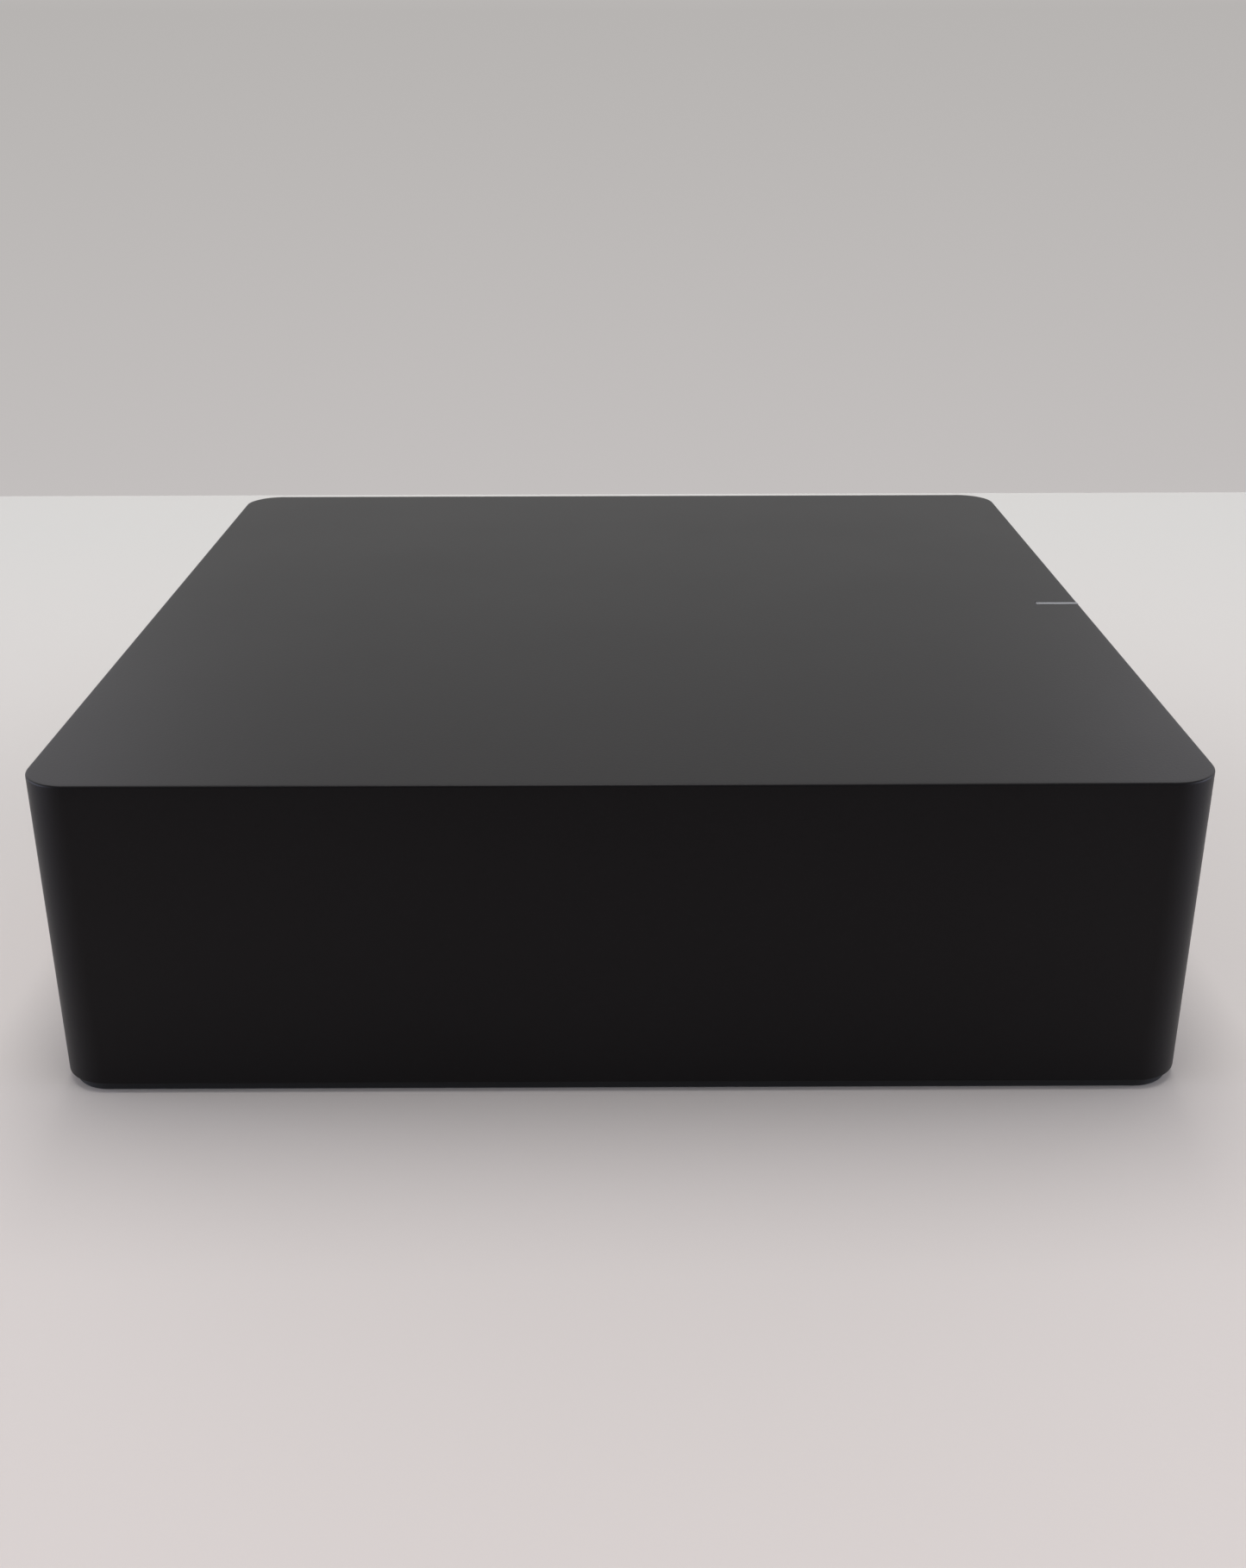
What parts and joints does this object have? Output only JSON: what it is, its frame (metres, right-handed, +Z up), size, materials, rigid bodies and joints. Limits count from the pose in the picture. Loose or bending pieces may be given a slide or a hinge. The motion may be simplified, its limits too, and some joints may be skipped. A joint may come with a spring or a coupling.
{
  "type": "streaming media player",
  "caption": "Low square matte black box with a small status light on top and a recessed rear panel of mains, network, phono and trigger connectors.",
  "frame": {"origin": "middle of the foot's underside, which is the bottom of the whole box", "axes": "+Z up, -Y to the front with the status light, +Y to the rear connectors, +X to the right seen from the front"},
  "size_m": [0.138, 0.138, 0.041],
  "materials": {
    "shell_plastic": "fine-grained matte black moulding",
    "panel_plastic": "matte black moulding",
    "base_plastic": "matte black moulding",
    "foot_rubber": "soft black silicone rubber",
    "light_plastic": "milky clear acrylic",
    "led_plastic": "moulded LED",
    "screw_steel": "zinc-plated steel",
    "circuit_board": "green solder mask on glass epoxy",
    "sheet_plastic": "clear insulating film",
    "spreader_aluminium": "brushed sheet",
    "can_steel": "tinned steel sheet",
    "chip_epoxy": "moulded epoxy",
    "pad_silicone": "soft silicone",
    "connector_plastic": "black moulded nylon",
    "pin_brass": "nickel-plated brass",
    "jack_nickel": "nickel plate",
    "contact_gold": "gold-plated bronze",
    "insulator_white": "moulded nylon",
    "insulator_red": "moulded nylon",
    "insulator_orange": "moulded nylon",
    "button_plastic": "smooth black moulding",
    "can_sleeve": "shrunk sleeve on an aluminium can",
    "fuse_plastic": "brown moulded case",
    "filter_plastic": "yellow box",
    "ferrite": "sintered ferrite",
    "winding_tape": "yellow tape over the winding",
    "harness_pvc": "wire insulation",
    "plug_nylon": "natural nylon",
    "antenna_film": "copper on film",
    "lead_jacket": "coaxial lead jacket"
  },
  "bodies": {
    "housing": {"top_shell": "shell_plastic", "rear_panel": "panel_plastic", "base_cover": "base_plastic", "foot_pad": "foot_rubber", "light_pipe": "light_plastic", "status_led": "led_plastic", "case_screws": "screw_steel", "board_screws": "screw_steel", "panel_screws": "screw_steel", "main_board": "circuit_board", "power_board": "circuit_board", "insulating_sheet": "sheet_plastic", "heat_spreader": "spreader_aluminium", "processor_shield": "can_steel", "processor_chip": "chip_epoxy", "thermal_pad": "pad_silicone", "board_chips": "chip_epoxy", "signal_capacitors": "can_sleeve", "power_inlet": "connector_plastic", "inlet_pins": "pin_brass", "network_shield_1": "can_steel", "network_shield_2": "can_steel", "network_insert_1": "connector_plastic", "network_insert_2": "connector_plastic", "network_contacts": "contact_gold", "digital_out_housing": "connector_plastic", "line_out_housing": "connector_plastic", "line_in_housing": "connector_plastic", "phono_contacts": "contact_gold", "digital_out_barrel": "jack_nickel", "digital_out_insulator": "insulator_orange", "line_out_left_barrel": "jack_nickel", "line_out_left_insulator": "insulator_white", "line_out_right_barrel": "jack_nickel", "line_out_right_insulator": "insulator_red", "line_in_left_barrel": "jack_nickel", "line_in_left_insulator": "insulator_white", "line_in_right_barrel": "jack_nickel", "line_in_right_insulator": "insulator_red", "trigger_jack": "connector_plastic", "trigger_bushing": "jack_nickel", "button_switch": "connector_plastic", "mains_fuse": "fuse_plastic", "filter_capacitor": "filter_plastic", "line_choke": "ferrite", "bridge_rectifier": "chip_epoxy", "main_capacitor": "can_sleeve", "output_capacitors": "can_sleeve", "transistor_heat_sink": "spreader_aluminium", "switching_transistor": "chip_epoxy", "transformer_core": "ferrite", "transformer_winding": "winding_tape", "harness_plugs": "plug_nylon", "power_harness": "harness_pvc", "left_antenna": "antenna_film", "front_antenna": "antenna_film", "antenna_leads": "lead_jacket"},
    "button": {"join_button": "button_plastic", "switch_plunger": "plug_nylon"}
  },
  "joints": [
    {"name": "button_press", "type": "slide", "parent": "housing", "child": "button", "axis": [0, -1, 0], "range_m": [0, 0.0005], "stiffness_N_per_m": 1500}
  ]
}
